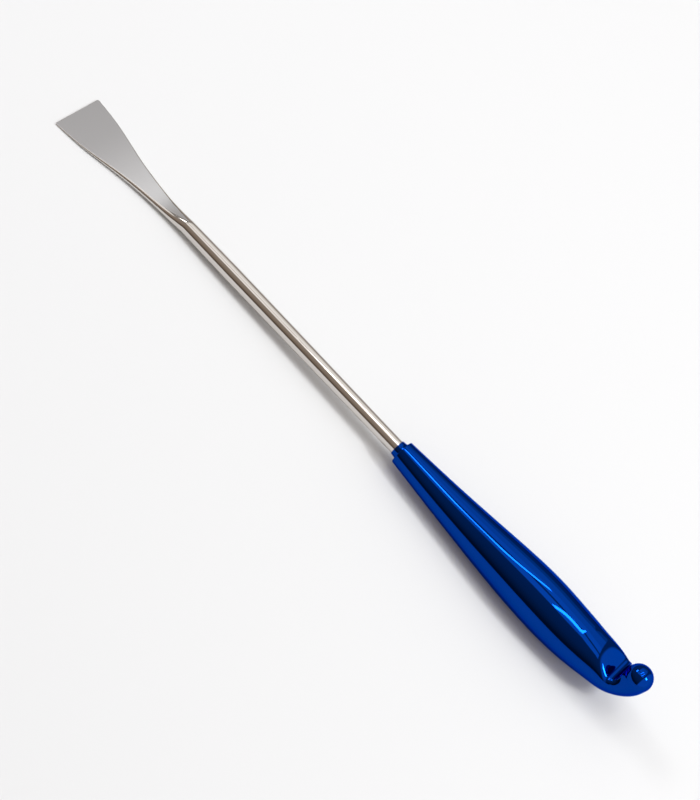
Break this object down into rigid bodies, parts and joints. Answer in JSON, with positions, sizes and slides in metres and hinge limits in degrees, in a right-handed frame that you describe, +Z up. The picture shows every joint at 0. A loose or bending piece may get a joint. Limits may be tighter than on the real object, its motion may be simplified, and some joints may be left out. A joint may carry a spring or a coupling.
{
  "type": "breast dissector",
  "caption": "Hand dissector: flat flared steel blade on a round rod, with a swelling polished grip that ends in a ball-tipped hook.",
  "frame": {"origin": "middle of the footprint of the instrument at rest, on the table", "axes": "+X along the instrument from the blade's edge towards the grip's tail, +Y across it, +Z up from the table"},
  "size_m": [0.3296, 0.0252, 0.0298],
  "materials": {
    "steel": "bright polished stainless steel, satin on the blade's flat face",
    "grip": "blue anodised aluminium, mirror polished"
  },
  "bodies": {
    "root": {"blade_shaft": "steel", "handle": "grip"}
  },
  "joints": []
}
